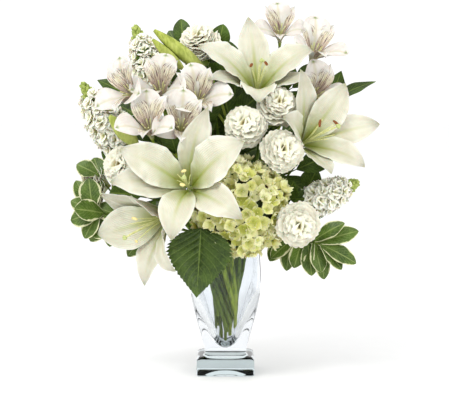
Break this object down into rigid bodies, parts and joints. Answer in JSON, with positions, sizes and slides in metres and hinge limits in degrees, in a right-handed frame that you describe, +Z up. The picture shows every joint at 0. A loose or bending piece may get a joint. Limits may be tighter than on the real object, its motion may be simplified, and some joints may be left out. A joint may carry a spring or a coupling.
{
  "type": "cut flower arrangement",
  "caption": "Open white lilies with mixed white blooms, a pale green hydrangea and leafy sprigs, standing in a clear glass vase with a square foot",
  "frame": {"origin": "centre of the underside of the square foot, under the middle of the whole arrangement", "axes": "Z up along the vase, the height being the longest extent; -Y is the front that the largest lily faces; X runs to the right of the front"},
  "size_m": [0.4296, 0.404, 0.5157],
  "materials": {
    "vase_glass": "clear, polished",
    "lily_petals": "waxy white petal",
    "lily_stamens": "matt yellow-green",
    "green_stems": "smooth green stem",
    "alstroemeria_petals": "thin white petal",
    "carnation_heads": "ruffled white petals",
    "stock_spikes": "clustered white florets",
    "hydrangea_florets": "clustered pale green florets",
    "foliage": "satin dark green leaf"
  },
  "bodies": {
    "root": {"alstroemeria_bloom_1": "alstroemeria_petals", "alstroemeria_bloom_2": "alstroemeria_petals", "alstroemeria_bloom_3": "alstroemeria_petals", "alstroemeria_bloom_4": "alstroemeria_petals", "alstroemeria_bloom_5": "alstroemeria_petals", "alstroemeria_bloom_6": "alstroemeria_petals", "alstroemeria_bloom_7": "alstroemeria_petals", "alstroemeria_bloom_8": "alstroemeria_petals", "alstroemeria_stem_left": "green_stems", "alstroemeria_stem_right": "green_stems", "carnation_1": "carnation_heads", "carnation_2": "carnation_heads", "carnation_3": "carnation_heads", "carnation_4": "carnation_heads", "carnation_5": "carnation_heads", "carnation_6": "carnation_heads", "carnation_7": "carnation_heads", "front_lily_inner_petal_1": "lily_petals", "front_lily_inner_petal_2": "lily_petals", "front_lily_inner_petal_3": "lily_petals", "front_lily_outer_petal_1": "lily_petals", "front_lily_outer_petal_2": "lily_petals", "front_lily_outer_petal_3": "lily_petals", "front_lily_stamens": "lily_stamens", "hydrangea": "hydrangea_florets", "hydrangea_leaf": "foliage", "lily_stem_left": "green_stems", "lily_stem_right": "green_stems", "lily_stem_top": "green_stems", "low_lily_inner_petal_1": "lily_petals", "low_lily_inner_petal_2": "lily_petals", "low_lily_inner_petal_3": "lily_petals", "low_lily_outer_petal_1": "lily_petals", "low_lily_outer_petal_2": "lily_petals", "low_lily_outer_petal_3": "lily_petals", "low_lily_stamens": "lily_stamens", "pittosporum_left": "foliage", "pittosporum_right": "foliage", "right_lily_inner_petal_1": "lily_petals", "right_lily_inner_petal_2": "lily_petals", "right_lily_inner_petal_3": "lily_petals", "right_lily_outer_petal_1": "lily_petals", "right_lily_outer_petal_2": "lily_petals", "right_lily_outer_petal_3": "lily_petals", "right_lily_stamens": "lily_stamens", "ruscus_left": "foliage", "ruscus_right": "foliage", "salal_back": "foliage", "salal_rear": "foliage", "stock_left": "stock_spikes", "stock_right": "stock_spikes", "stock_top": "stock_spikes", "top_lily_inner_petal_1": "lily_petals", "top_lily_inner_petal_2": "lily_petals", "top_lily_inner_petal_3": "lily_petals", "top_lily_outer_petal_1": "lily_petals", "top_lily_outer_petal_2": "lily_petals", "top_lily_outer_petal_3": "lily_petals", "top_lily_stamens": "lily_stamens", "vase": "vase_glass"}
  },
  "joints": []
}
